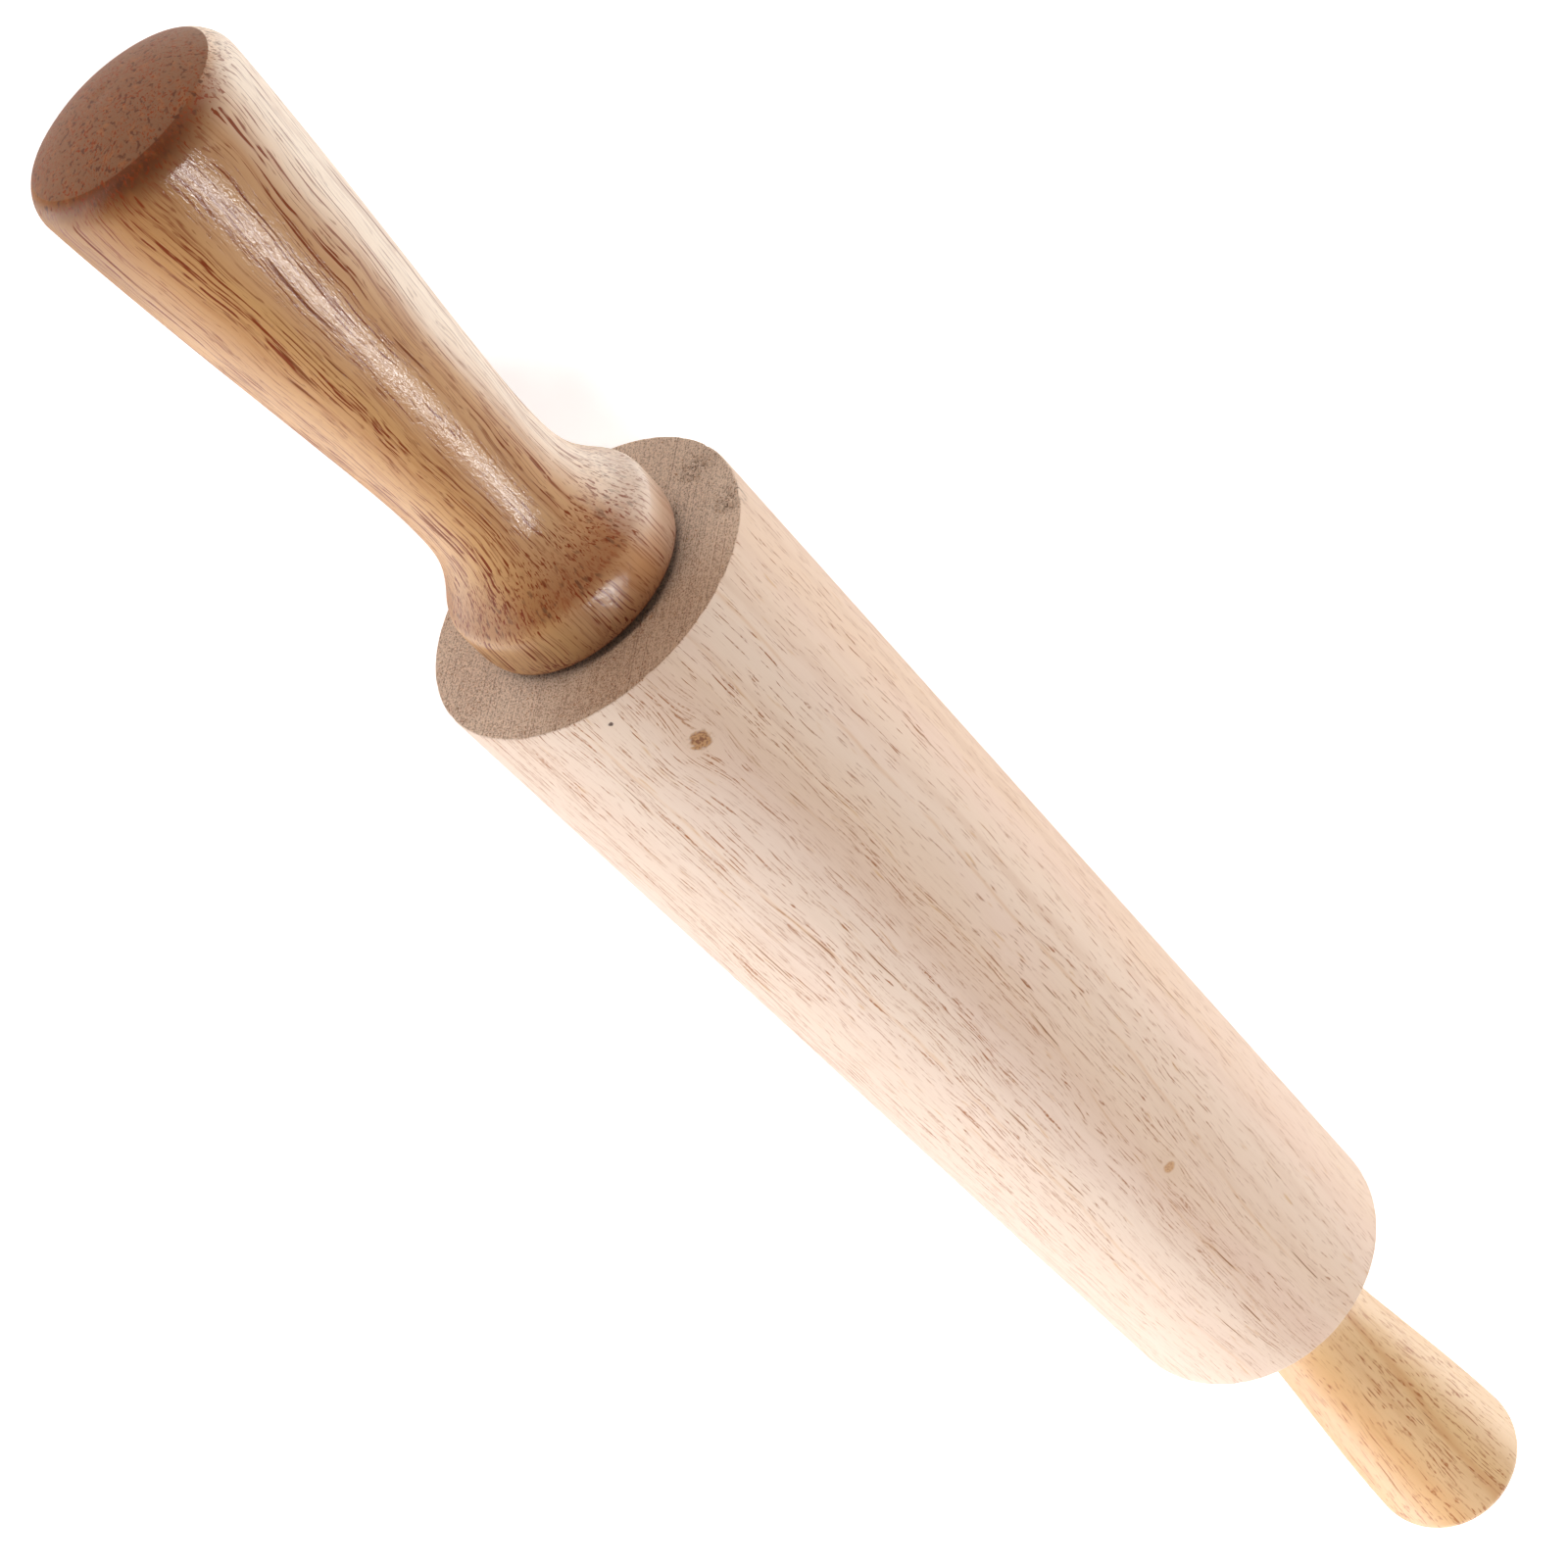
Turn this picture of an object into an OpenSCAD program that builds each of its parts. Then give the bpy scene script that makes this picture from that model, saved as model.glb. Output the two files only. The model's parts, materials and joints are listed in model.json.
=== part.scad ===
// Rolling pin with a free-running barrel.
// The barrel turns on two shielded ball bearings round a fixed steel axle, and a
// turned wooden handle is screwed onto each end of the axle.
// The axle lies along X, the origin is at the middle of the barrel, and +Z is up.

/* [Barrel] */
// Diameter of the barrel
barrel_d = 64; // [50:0.5:90]
// Length of the barrel
barrel_l = 253; // [200:1:400]
// Broken edge round each end of the barrel
barrel_edge = 0.4; // [0.2:0.1:2]
// Air round the axle in the barrel's bore, on the radius
bore_clearance = 1.5; // [0.5:0.1:3]

/* [Handle] */
// Length of a handle from its collar's face to its tip
handle_l = 118; // [100:1:150]
// Gap between the barrel's end and the collar's face
collar_gap = 1; // [0.6:0.1:3]
// Diameter of the collar's band
collar_d = 41.5; // [38:0.1:48]
// Width of the collar's band, up to where the flare's line meets it
collar_l = 10.2; // [8:0.1:14]
// Axial length of the soft edge at the collar's face
collar_edge_l = 4; // [1:0.1:5]
// Depth of the soft edge at the collar's face, on the radius
collar_edge_h = 1.45; // [0.5:0.05:3]
// Radius between the collar's band and the flare
collar_shoulder_r = 2.5; // [1:0.1:4]
// Slope of the flare where it leaves the collar, in degrees
flare_angle = 35.5; // [25:0.5:45]
// Diameter of the neck, the handle's narrowest place
neck_d = 27.4; // [24:0.1:32]
// Distance of the neck from the collar's face
neck_at = 32; // [26:0.5:40]
// Diameter of the grip where its end begins to round
grip_d = 38.3; // [34:0.1:44]
// Slope of the grip where its end begins to round, in degrees
grip_angle = 2.3; // [0:0.1:5]
// Radius of the corner between the grip and the domed end
end_corner_r = 5.5; // [3:0.1:8]
// Radius of the domed end
end_dome_r = 40; // [32:1:80]

/* [Axle] */
// Diameter of the rod between the bearings
axle_d = 10; // [9:0.1:11.5]
// Length of the threaded end that screws into a handle
thread_l = 18; // [10:0.5:24]
// Pitch of the thread
thread_pitch = 1.25; // [1:0.25:1.5]
// Depth of the thread
thread_depth = 0.6; // [0.4:0.05:0.8]

/* [Bearing] */
// Bore of a bearing
bearing_bore = 8; // [7:0.1:8.4]
// Outer diameter of a bearing
bearing_d = 22; // [21.6:0.1:24]
// Width of a bearing
bearing_w = 7; // [6.6:0.1:8]
// Depth of a bearing's face below the barrel's end
bearing_recess = 0.5; // [0.2:0.1:2]
// Number of balls in a bearing
ball_n = 7; // [5:1:7]
// Diameter of a ball
ball_d = 3.969; // [3.6:0.001:4.1]
// Clearance between a ball and each groove, on the radius
ball_clearance = 0.03; // [0.02:0.01:0.05]
// Height of the outer ring's shoulder above its groove
outer_shoulder_h = 0.55; // [0.4:0.05:0.7]
// Height of the inner ring's shoulder above its groove
inner_shoulder_h = 0.55; // [0.4:0.05:0.7]
// Chamfer on a ring's corners
ring_chamfer = 0.35; // [0.1:0.05:0.4]
// Thickness of a shield
shield_t = 0.3; // [0.2:0.05:0.4]
// Depth of a shield's outer side below the bearing's face
shield_depth = 0.3; // [0.2:0.05:0.4]
// Depth of the seat that holds a shield's rim in the outer ring
shield_seat_h = 0.6; // [0.3:0.05:0.8]
// Air between a shield and the inner ring
shield_clearance = 0.2; // [0.1:0.05:0.4]

/* [Cage] */
// Thickness of the cage's sheet
cage_t = 0.3; // [0.2:0.05:0.35]
// Radial width of the cage
cage_w = 2; // [1.6:0.1:2.2]
// Clearance between a ball and its pocket
pocket_clearance = 0.1; // [0.05:0.01:0.15]
// Diameter of a cage rivet
rivet_d = 0.6; // [0.4:0.05:0.7]
// Diameter of a cage rivet's head
rivet_head_d = 1.1; // [0.8:0.05:1.3]
// Height of a cage rivet's head
rivet_head_h = 0.2; // [0.1:0.05:0.3]

/* [Handle insert] */
// Diameter over the insert's barbs
insert_d = 12; // [11:0.1:14]
// Length of the insert
insert_l = 20; // [18.5:0.5:26]
// Depth of the insert's barbs
barb_depth = 0.6; // [0.3:0.05:0.9]
// Length of one barb
barb_l = 2; // [1.5:0.1:3]
// Diameter of the insert's flange
flange_d = 16; // [15:0.1:20]
// Thickness of the insert's flange
flange_t = 1.5; // [1:0.1:2.5]
// Air between the threaded end and the insert, on the radius
thread_clearance = 0.05; // [0.02:0.01:0.1]
// Depth of the handle's bore past the insert
bore_extra = 4; // [2:0.5:8]

/* [Spacer washer] */
// Radial wall of the spacer washer
spacer_wall = 1.8; // [1.2:0.1:2]
// Air between the spacer washer and the axle, on the radius
spacer_clearance = 0.1; // [0.05:0.05:0.3]

/* [Hidden] */

// Sides: the left end points to -X and the right end to +X.
left = -1;
right = 1;
outboard = 1;
inboard = -1;

// Facets on a full turn of large turned pieces, and of small ones.
large_turn = 128;
small_turn = 64;
ball_turn = 48;
// Straight pieces in each curved stretch of an outline.
edge_steps = 5;
shoulder_steps = 4;
flare_steps = 12;
grip_steps = 10;
corner_steps = 7;
dome_steps = 8;
// How far a cut runs past what it cuts.
overrun = ball_d / 4;

// Places along the axle, from the middle of the barrel.
barrel_end = barrel_l / 2;
bearing_face = barrel_end - bearing_recess;
bearing_mid = bearing_face - bearing_w / 2;
bearing_back = bearing_face - bearing_w;
collar_face = barrel_end + collar_gap;
thread_end = collar_face + thread_l;

// Radii of the barrel, the axle and the bearing.
barrel_r = barrel_d / 2;
seat_r = bearing_d / 2;
journal_r = bearing_bore / 2;
axle_r = axle_d / 2;
ball_r = ball_d / 2;
pitch_r = (bearing_bore + bearing_d) / 4;
// A groove is a little wider than its ball, as a share of the ball's radius.
groove_share = 1.04;
groove_r = groove_share * ball_r;
inner_groove_floor = pitch_r - ball_r - ball_clearance;
outer_groove_floor = pitch_r + ball_r + ball_clearance;
inner_shoulder_r = inner_groove_floor + inner_shoulder_h;
outer_shoulder_r = outer_groove_floor - outer_shoulder_h;
shield_rim_r = outer_shoulder_r + shield_seat_h;
shield_hole_r = inner_shoulder_r + shield_clearance;
shield_seat_z = bearing_w / 2 - shield_depth - shield_t;
pocket_r = ball_r + pocket_clearance;
cage_in_r = pitch_r - cage_w / 2;
cage_out_r = pitch_r + cage_w / 2;

// The handle's outline, as distance from the collar's face and radius.
collar_r = collar_d / 2;
neck_r = neck_d / 2;
grip_r = grip_d / 2;
shoulder_run = collar_shoulder_r * tan(flare_angle / 2);
flare_start = [
    collar_l + shoulder_run * cos(flare_angle),
    collar_r - shoulder_run * sin(flare_angle)
];
neck_point = [neck_at, neck_r];
end_corner_mid_r = grip_r - end_corner_r;
end_dome_mid = handle_l - end_dome_r;
end_corner_mid = end_dome_mid
    + sqrt(pow(end_dome_r - end_corner_r, 2) - pow(end_corner_mid_r, 2));
end_tangent = atan2(end_corner_mid_r, end_corner_mid - end_dome_mid);
grip_end = [
    end_corner_mid - end_corner_r * sin(grip_angle),
    end_corner_mid_r + end_corner_r * cos(grip_angle)
];
// How far each curve keeps its end directions, as shares of its length.
flare_start_share = 0.48;
flare_neck_share = 0.46;
grip_neck_share = 0.15;
grip_end_share = 0.38;

function arc(mid, r, from, to, steps) = [
    for (i = [0:steps])
        let (a = from + (to - from) * i / steps)
            mid + r * [cos(a), sin(a)]
];

// A smooth curve from a to b that leaves a along da and reaches b along db.
function curve(a, da, db, b, steps) = [
    for (i = [0:steps])
        let (t = i / steps, u = 1 - t)
            pow(u, 3) * a + 3 * u * u * t * (a + da)
            + 3 * u * t * t * (b - db) + pow(t, 3) * b
];

function along(angle, length) = length * [cos(angle), sin(angle)];

// Point lists that are joined share their meeting point, so it is dropped once.
function but_first(points) = [for (i = [1:len(points) - 1]) points[i]];

function collar_edge_points() = [
    for (i = [0:edge_steps])
        let (a = 90 * i / edge_steps)
            [collar_edge_l * (1 - cos(a)), collar_r - collar_edge_h * (1 - sin(a))]
];

function handle_outline() =
    let (
        flare_l = neck_at - flare_start[0],
        grip_l = grip_end[0] - neck_at
    )
    concat(
        collar_edge_points(),
        arc([collar_l - shoulder_run, collar_r - collar_shoulder_r],
            collar_shoulder_r, 90, 90 - flare_angle, shoulder_steps),
        but_first(curve(flare_start, along(-flare_angle, flare_start_share * flare_l),
            along(0, flare_neck_share * flare_l), neck_point, flare_steps)),
        but_first(curve(neck_point, along(0, grip_neck_share * grip_l),
            along(grip_angle, grip_end_share * grip_l), grip_end, grip_steps)),
        but_first(arc([end_corner_mid, end_corner_mid_r], end_corner_r,
            90 + grip_angle, end_tangent, corner_steps)),
        but_first(arc([end_dome_mid, 0], end_dome_r, end_tangent, 0, dome_steps))
    );

// The blind bore in a handle, from the tip's side back to the collar's face.
function handle_bore_points() =
    let (bore_end = insert_l + bore_extra, insert_r = insert_d / 2)
    [
        [bore_end + insert_r / 2, 0],
        [bore_end, insert_r],
        [flange_t, insert_r],
        [flange_t, flange_d / 2],
        [0, flange_d / 2]
    ];

// Outlines are drawn as [distance along the axle, radius]; this turns them about X.
module turned(points, turn) {
    rotate([0, 90, 0])
        rotate_extrude($fn = turn)
            polygon([for (p = points) [p[1], p[0]]]);
}

// Puts a piece that is drawn from zero outwards at a place on one side's axle.
module on_side(side, place) {
    rotate([0, 0, side == left ? 180 : 0])
        translate([place, 0, 0])
            children();
}

// Turns a piece that is drawn about Z so that its top points outboard.
module in_bearing(side) {
    on_side(side, bearing_mid)
        rotate([0, 90, 0])
            children();
}

module round_balls() {
    for (i = [0:ball_n - 1])
        rotate([0, 0, 360 * i / ball_n])
            translate([pitch_r, 0, 0])
                children();
}

module between_balls() {
    rotate([0, 0, 180 / ball_n])
        round_balls()
            children();
}

module barrel() {
    bore_r = axle_r + bore_clearance;
    half = [
        [bearing_back, bore_r],
        [bearing_back, seat_r],
        [barrel_end, seat_r],
        [barrel_end, barrel_r - barrel_edge],
        [barrel_end - barrel_edge, barrel_r]
    ];
    other_half = [for (i = [len(half) - 1:-1:0]) [-half[i][0], half[i][1]]];
    color([0.91, 0.80, 0.72])
        turned(concat(half, other_half), large_turn);
}

// One side of the axle's outline, from its shoulder to its threaded tip.
function axle_side() =
    let (
        grooves = floor(thread_l / thread_pitch) - 1,
        first = thread_end - grooves * thread_pitch,
        root_r = journal_r - thread_depth
    )
    concat(
        [[bearing_back, axle_r], [bearing_back, journal_r], [first, journal_r]],
        [for (i = [0:grooves - 1])
            each [
                [first + (i + 0.5) * thread_pitch, root_r],
                [first + (i + 1) * thread_pitch, i < grooves - 1 ? journal_r : root_r]
            ]
        ],
        [[thread_end, 0]]
    );

module axle_rod() {
    half = axle_side();
    other_half = [for (i = [len(half) - 2:-1:0]) [-half[i][0], half[i][1]]];
    color([0.72, 0.73, 0.75])
        turned(concat([[-thread_end, 0]], other_half, half), small_turn);
}

module handle(side) {
    color([0.82, 0.58, 0.34])
        on_side(side, collar_face)
            turned(concat(handle_outline(), handle_bore_points()), large_turn);
}

module insert(side) {
    bore_r = journal_r + thread_clearance;
    insert_r = insert_d / 2;
    barbs = floor((insert_l - flange_t) / barb_l) - 1;
    first = insert_l - barbs * barb_l;
    color([0.80, 0.64, 0.30])
        on_side(side, collar_face)
            turned(concat(
                [[0, bore_r], [0, flange_d / 2], [flange_t, flange_d / 2],
                    [flange_t, insert_r - barb_depth], [first, insert_r - barb_depth]],
                [for (i = [0:barbs - 1])
                    each [
                        [first + i * barb_l, insert_r],
                        [first + (i + 1) * barb_l, insert_r - barb_depth]
                    ]
                ],
                [[insert_l, bore_r]]
            ), small_turn);
}

module spacer_washer(side) {
    hole_r = journal_r + spacer_clearance;
    spacer_t = bearing_recess + collar_gap;
    color([0.66, 0.67, 0.69])
        on_side(side, bearing_face)
            turned([[0, hole_r], [0, hole_r + spacer_wall],
                [spacer_t, hole_r + spacer_wall], [spacer_t, hole_r]], small_turn);
}

// The section of a ring with chamfered corners, from radius a to radius b.
module ring_section(a, b, a_chamfer, b_chamfer) {
    h = bearing_w / 2;
    polygon([
        [a + a_chamfer, -h], [b - b_chamfer, -h], [b, -h + b_chamfer],
        [b, h - b_chamfer], [b - b_chamfer, h], [a + a_chamfer, h],
        [a, h - a_chamfer], [a, -h + a_chamfer]
    ]);
}

module bearing_outer_ring(side) {
    color([0.70, 0.71, 0.73])
        in_bearing(side)
            rotate_extrude($fn = small_turn)
                difference() {
                    ring_section(outer_shoulder_r, seat_r, 0, ring_chamfer);
                    translate([outer_groove_floor - groove_r, 0])
                        circle(r = groove_r, $fn = ball_turn);
                    for (way = [inboard, outboard])
                        translate([outer_shoulder_r - overrun,
                            way == outboard ? shield_seat_z : -shield_seat_z - bearing_w])
                            square([shield_rim_r - outer_shoulder_r + overrun, bearing_w]);
                }
}

module bearing_inner_ring(side) {
    color([0.74, 0.75, 0.77])
        in_bearing(side)
            rotate_extrude($fn = small_turn)
                difference() {
                    ring_section(journal_r, inner_shoulder_r, ring_chamfer, ring_chamfer);
                    translate([inner_groove_floor + groove_r, 0])
                        circle(r = groove_r, $fn = ball_turn);
                }
}

module bearing_balls(side) {
    color([0.82, 0.83, 0.85])
        in_bearing(side)
            round_balls()
                sphere(r = ball_r, $fn = ball_turn);
}

module tube(in_r, out_r, h) {
    difference() {
        cylinder(r = out_r, h = h, $fn = small_turn);
        translate([0, 0, -overrun])
            cylinder(r = in_r, h = h + 2 * overrun, $fn = small_turn);
    }
}

// One pressed half of the cage: flat webs, and half a round pocket over each ball.
module cage_half(side, way) {
    color([0.62, 0.60, 0.55])
        in_bearing(side)
            rotate([way == outboard ? 0 : 180, 0, 0])
                difference() {
                    intersection() {
                        union() {
                            tube(cage_in_r, cage_out_r, cage_t);
                            round_balls()
                                sphere(r = pocket_r + cage_t, $fn = ball_turn);
                        }
                        tube(cage_in_r, cage_out_r, pocket_r + 2 * cage_t);
                    }
                    round_balls()
                        sphere(r = pocket_r, $fn = ball_turn);
                    between_balls()
                        translate([0, 0, -overrun])
                            cylinder(d = rivet_d, h = cage_t + 2 * overrun, $fn = ball_turn);
                }
}

module cage_rivets(side) {
    color([0.74, 0.72, 0.66])
        in_bearing(side)
            between_balls() {
                translate([0, 0, -cage_t - rivet_head_h])
                    cylinder(d = rivet_head_d, h = rivet_head_h, $fn = ball_turn);
                translate([0, 0, -cage_t])
                    cylinder(d = rivet_d, h = 2 * cage_t, $fn = ball_turn);
                translate([0, 0, cage_t])
                    cylinder(d = rivet_head_d, h = rivet_head_h, $fn = ball_turn);
            }
}

module bearing_shield(side, way) {
    color([0.78, 0.79, 0.81])
        in_bearing(side)
            translate([0, 0, way == outboard ? shield_seat_z : -shield_seat_z - shield_t])
                tube(shield_hole_r, shield_rim_r, shield_t);
}

barrel();
axle_rod();
handle(left);  // left_handle
handle(right);  // right_handle
insert(left);  // left_insert
insert(right);  // right_insert
spacer_washer(left);  // left_spacer_washer
spacer_washer(right);  // right_spacer_washer
bearing_outer_ring(left);  // left_bearing_outer_ring
bearing_outer_ring(right);  // right_bearing_outer_ring
bearing_inner_ring(left);  // left_bearing_inner_ring
bearing_inner_ring(right);  // right_bearing_inner_ring
bearing_balls(left);  // left_bearing_balls
bearing_balls(right);  // right_bearing_balls
cage_half(left, inboard);  // left_cage_inboard_half
cage_half(right, inboard);  // right_cage_inboard_half
cage_half(left, outboard);  // left_cage_outboard_half
cage_half(right, outboard);  // right_cage_outboard_half
cage_rivets(left);  // left_cage_rivets
cage_rivets(right);  // right_cage_rivets
bearing_shield(left, inboard);  // left_inboard_shield
bearing_shield(right, inboard);  // right_inboard_shield
bearing_shield(left, outboard);  // left_outboard_shield
bearing_shield(right, outboard);  // right_outboard_shield
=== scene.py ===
import json
import math

import bmesh
import bpy
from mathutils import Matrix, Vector, noise


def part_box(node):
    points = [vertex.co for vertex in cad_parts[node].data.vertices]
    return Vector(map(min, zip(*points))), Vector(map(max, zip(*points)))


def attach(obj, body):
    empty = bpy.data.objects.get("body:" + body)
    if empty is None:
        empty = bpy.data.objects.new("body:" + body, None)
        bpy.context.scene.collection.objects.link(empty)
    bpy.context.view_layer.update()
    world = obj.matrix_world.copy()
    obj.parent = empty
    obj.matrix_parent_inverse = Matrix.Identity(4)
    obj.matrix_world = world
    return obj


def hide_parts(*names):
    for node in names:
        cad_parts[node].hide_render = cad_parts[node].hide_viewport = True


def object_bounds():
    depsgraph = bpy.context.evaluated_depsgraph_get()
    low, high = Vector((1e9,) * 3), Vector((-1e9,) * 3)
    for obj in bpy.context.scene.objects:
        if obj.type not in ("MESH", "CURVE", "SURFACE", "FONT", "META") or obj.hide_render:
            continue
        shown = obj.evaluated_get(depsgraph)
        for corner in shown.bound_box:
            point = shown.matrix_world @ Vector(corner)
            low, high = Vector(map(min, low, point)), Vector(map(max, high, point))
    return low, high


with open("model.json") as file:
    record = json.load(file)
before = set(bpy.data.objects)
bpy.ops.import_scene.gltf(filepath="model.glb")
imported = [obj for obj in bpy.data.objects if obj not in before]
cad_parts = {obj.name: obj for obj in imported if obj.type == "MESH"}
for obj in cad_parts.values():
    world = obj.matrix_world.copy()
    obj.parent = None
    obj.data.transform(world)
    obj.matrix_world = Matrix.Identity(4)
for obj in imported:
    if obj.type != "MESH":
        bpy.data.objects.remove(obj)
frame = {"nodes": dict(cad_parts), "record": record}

cadLow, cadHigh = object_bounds()
mm = 0.001
fullTurn = 2 * math.pi


# Node helpers

def newTree(name):
    material = bpy.data.materials.new(name)
    material.use_nodes = True
    tree = material.node_tree
    tree.nodes.clear()
    return material, tree


def put(tree, kind, sockets=None, **options):
    node = tree.nodes.new("ShaderNode" + kind)
    for key, value in options.items():
        setattr(node, key, value)
    for key, value in (sockets or {}).items():
        if isinstance(value, bpy.types.NodeSocket):
            tree.links.new(value, node.inputs[key])
        else:
            node.inputs[key].default_value = value
    return node


def calc(tree, operation, *values, clamp=False):
    sockets = dict(enumerate(values))
    return put(tree, "Math", sockets, operation=operation, use_clamp=clamp).outputs[0]


def vectorCalc(tree, operation, *values, out="Vector"):
    if operation == "SCALE":
        sockets = {0: values[0], "Scale": values[1]}
    else:
        sockets = dict(enumerate(values))
    return put(tree, "VectorMath", sockets, operation=operation).outputs[out]


def span(tree, value, low, high, toLow=0.0, toHigh=1.0):
    sockets = {"Value": value, "From Min": low, "From Max": high, "To Min": toLow, "To Max": toHigh}
    return put(tree, "MapRange", sockets, interpolation_type="SMOOTHSTEP").outputs["Result"]


def blendTones(tree, amount, first, second, way="MIX"):
    sockets = {0: amount, 6: first, 7: second}
    mix = put(tree, "Mix", sockets, data_type="RGBA", blend_type=way, clamp_factor=True)
    return mix.outputs[2]


def cloud(tree, place, stretch, detail=2.0, roughness=0.5, out="Fac"):
    scaled = vectorCalc(tree, "DIVIDE", place, stretch)
    sockets = {"Vector": scaled, "Scale": 1.0, "Detail": detail, "Roughness": roughness}
    return put(tree, "TexNoise", sockets, noise_dimensions="3D").outputs[out]


def linear(part):
    return part / 12.92 if part <= 0.04045 else ((part + 0.055) / 1.055) ** 2.4


# A colour as a paint program shows it, 0 to 255, made linear for the shaders
def tone(red, green, blue):
    return tuple(linear(part / 255) for part in (red, green, blue)) + (1.0,)


# Wood: one solid of grain that each turned piece is cut from, in millimetres along the grain

# From where to where each cloud counts, the same in every wood
levels = {
    "broad": (0.3, 0.7), "tint": (0.45, 0.7), "streak": (0.45, 0.75), "fleck": (0.25, 0.75),
    "bead": (0.36, 0.56), "crowd": (0.4, 0.6), "lineBreak": (0.35, 0.6),
    "spot": (1.0, 0.2), "hole": (1.0, 0.5), "stain": 0.6, "sap": (0.2, 1.0, 1.0, 0.6),
}

# A knot: shares of its core's radius, then in millimetres its wobble, mottle, depth and clear rim
knotShape = {
    "core": (1.3, 0.7), "rim": (0.5, 1.0), "rimShare": (0.0, 0.4),
    "heart": (0.7, 0.1), "heartShare": (0.1, 0.7), "fleckShare": (0.36, 0.64, -0.7, 0.7),
    "wobble": 0.9, "mottle": 0.45, "depth": 10.0, "clearFrom": 0.4, "clearTo": 2.0,
}


def squaredShare(tree, value, whole):
    return calc(tree, "POWER", calc(tree, "ABSOLUTE", calc(tree, "DIVIDE", value, whole)), 2.0)


# Bends the grain round a knot, and gives the distance from the knot and how far the bend reaches
def pushedRound(tree, place, knot):
    angle = math.radians(knot["angle"])
    centre = (knot["x"], knot["radius"] * math.cos(angle), knot["radius"] * math.sin(angle))
    tangent = (0.0, -math.sin(angle), math.cos(angle))
    outward = (0.0, math.cos(angle), math.sin(angle))
    offset = vectorCalc(tree, "SUBTRACT", place, centre)
    alongGrain = vectorCalc(tree, "DOT_PRODUCT", offset, (1.0, 0.0, 0.0), out="Value")
    across = vectorCalc(tree, "DOT_PRODUCT", offset, tangent, out="Value")
    height = vectorCalc(tree, "DOT_PRODUCT", place, outward, out="Value")
    farAlong = squaredShare(tree, alongGrain, knot["swirlLength"])
    farAcross = squaredShare(tree, across, knot["swirlWidth"])
    fade = calc(tree, "EXPONENT", calc(tree, "MULTIPLY", calc(tree, "ADD", farAlong, farAcross), -1.0))
    fade = calc(tree, "MULTIPLY", fade, span(tree, height, 0.0, knotShape["depth"]))
    shift = calc(tree, "MULTIPLY", calc(tree, "MULTIPLY", across, fade), -knot["swirl"])
    moved = vectorCalc(tree, "ADD", place, vectorCalc(tree, "SCALE", tangent, shift))
    wobble = calc(tree, "SUBTRACT", cloud(tree, place, (knotShape["wobble"],) * 3), 0.5)
    wobble = calc(tree, "MULTIPLY", wobble, knot["ragged"])
    reach = calc(tree, "ADD", vectorCalc(tree, "LENGTH", offset, out="Value"), wobble)
    return moved, reach, fade


# Gives the place in the solid of grain, the knots, the place on the piece, and how squarely it is cut
def woodGrain(tree, wood):
    coordinates = put(tree, "TexCoord")
    place = vectorCalc(tree, "SCALE", coordinates.outputs["Object"], 1.0 / mm)
    moved = place
    spots = []
    for knot in wood["knots"]:
        moved, reach, fade = pushedRound(tree, moved, knot)
        spots.append((knot, reach, fade))
    along = put(tree, "SeparateXYZ", {0: place}).outputs[0]
    slim = 1.0
    for start, stop, share in wood["tapers"]:
        ramp = {"Value": along, "From Min": start, "From Max": stop, "To Min": 1.0, "To Max": share}
        slim = calc(tree, "MULTIPLY", slim, put(tree, "MapRange", ramp).outputs["Result"])
    slimmed = put(tree, "CombineXYZ", {0: 1.0, 1: slim, 2: slim}).outputs[0]
    moved = vectorCalc(tree, "MULTIPLY", moved, slimmed)
    turned = put(tree, "Mapping", {
        "Vector": vectorCalc(tree, "SUBTRACT", moved, (wood["middle"], 0.0, 0.0)),
        "Location": wood["cutAt"],
        "Rotation": tuple(math.radians(angle) for angle in (0.0, wood["lean"], wood["drift"])),
    }).outputs[0]
    roundWay = vectorCalc(tree, "CROSS_PRODUCT", (1.0, 0.0, 0.0), place)
    reach = calc(tree, "MAXIMUM", vectorCalc(tree, "LENGTH", roundWay, out="Value"), wood["swayRadius"])
    roundWay = vectorCalc(tree, "SCALE", roundWay, calc(tree, "DIVIDE", 1.0, reach))
    push = 0.0
    for wave, sway in wood["waves"]:
        swing = calc(tree, "SUBTRACT", cloud(tree, turned, wave, 0.0), 0.5)
        push = calc(tree, "ADD", push, calc(tree, "MULTIPLY", swing, sway))
    grain = vectorCalc(tree, "ADD", turned, vectorCalc(tree, "SCALE", roundWay, push))
    lean, drift = math.radians(wood["lean"]), math.radians(wood["drift"])
    fibreWay = (math.cos(drift) * math.cos(lean), -math.sin(drift), math.sin(lean))
    cut = vectorCalc(tree, "DOT_PRODUCT", coordinates.outputs["Normal"], fibreWay, out="Value")
    return grain, spots, place, calc(tree, "ABSOLUTE", cut)


def acrossGrain(tree, wood, grain, layer):
    turn = math.radians(layer["angle"])
    way = (layer.get("slant", 0.0), math.cos(turn), math.sin(turn))
    middle = vectorCalc(tree, "SUBTRACT", grain, wood["cutAt"])
    return calc(tree, "SUBTRACT", vectorCalc(tree, "DOT_PRODUCT", middle, way, out="Value"), layer["at"])


def bandShare(tree, wood, grain, sway, band):
    sideways = acrossGrain(tree, wood, grain, band)
    wander = calc(tree, "MULTIPLY", calc(tree, "SUBTRACT", sway, 0.5), band["ragged"])
    sideways = calc(tree, "ADD", sideways, wander)
    inner = span(tree, sideways, -band["soft"], band["soft"])
    outer = span(tree, sideways, band["wide"] + band["soft"], band["wide"] - band["soft"])
    return calc(tree, "MULTIPLY", calc(tree, "MULTIPLY", inner, outer), band["share"])


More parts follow.
